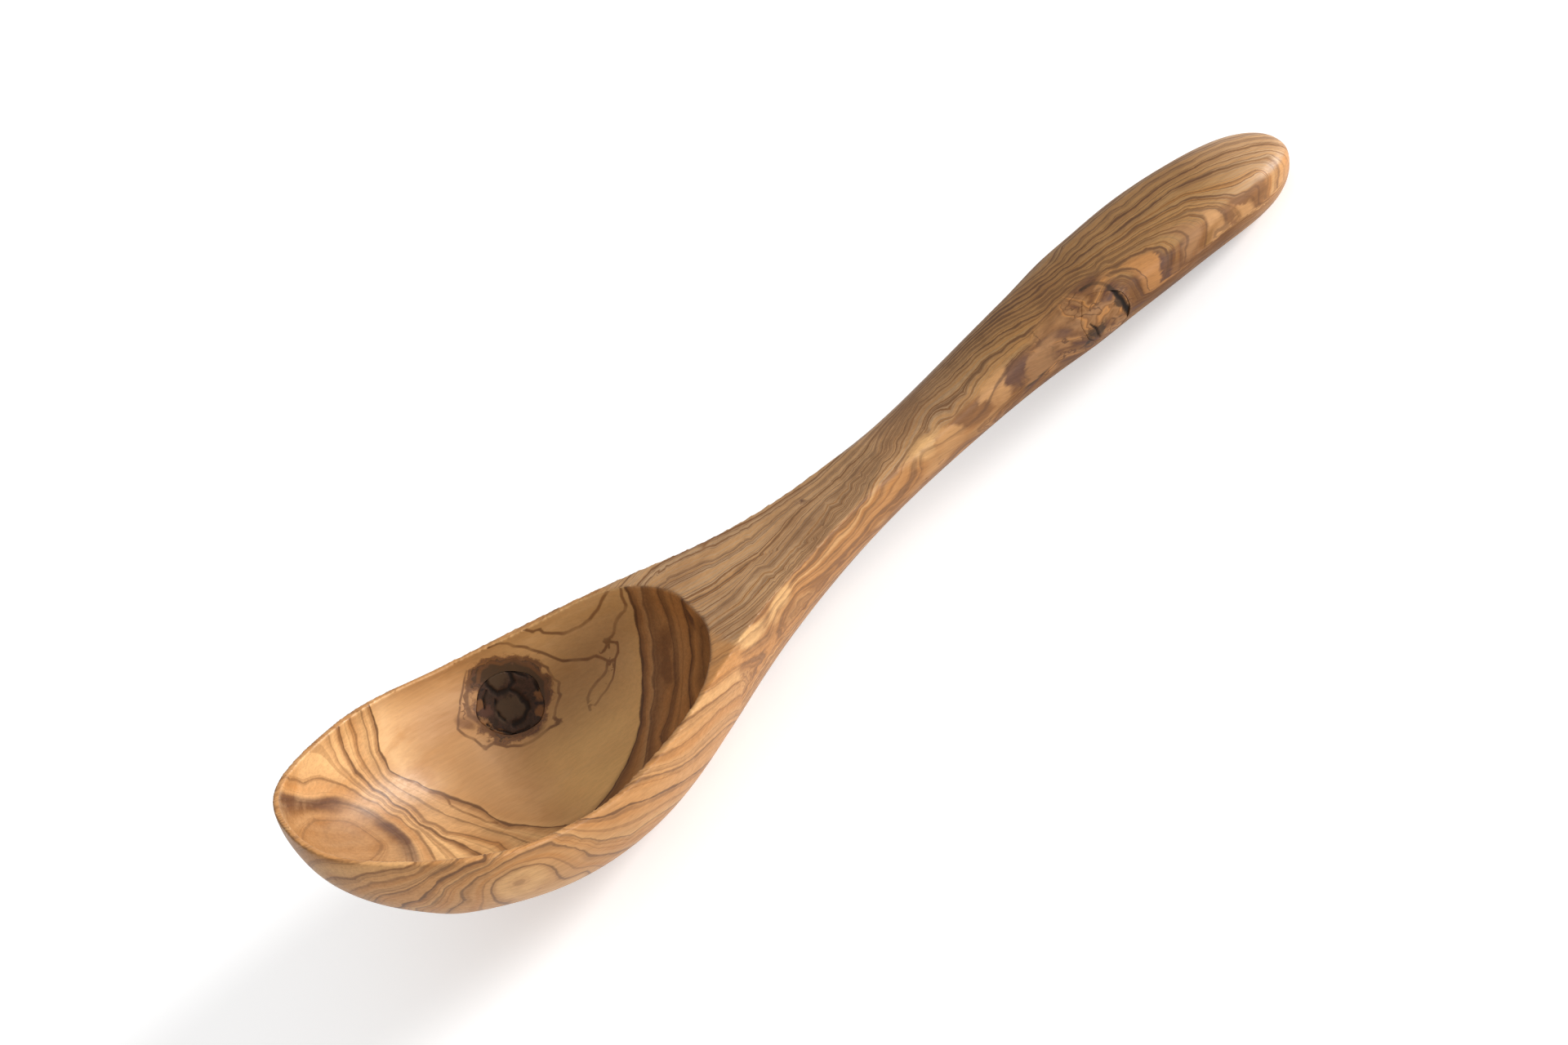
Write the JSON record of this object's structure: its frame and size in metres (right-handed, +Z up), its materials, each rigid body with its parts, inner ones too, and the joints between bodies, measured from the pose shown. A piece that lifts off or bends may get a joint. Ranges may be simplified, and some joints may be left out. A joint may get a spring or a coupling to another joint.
{
  "type": "wooden serving spoon",
  "caption": "Carved olive-wood serving spoon with a deep oval bowl, a flat-topped waisted neck and a round-backed handle, with dead knots in the wood.",
  "frame": {"origin": "centre of the bounding box, on the table that the spoon rests on", "axes": "+X from the tip of the bowl to the end of the handle, +Y across the spoon, +Z up from the table"},
  "size_m": [0.298, 0.0736, 0.0693],
  "materials": {
    "olive_wood": "oiled, satin",
    "knot_wood": "oiled, satin, cracked"
  },
  "bodies": {
    "root": {"spoon_body": "olive_wood", "bowl_knot": "knot_wood", "handle_knot": "knot_wood"}
  },
  "joints": []
}
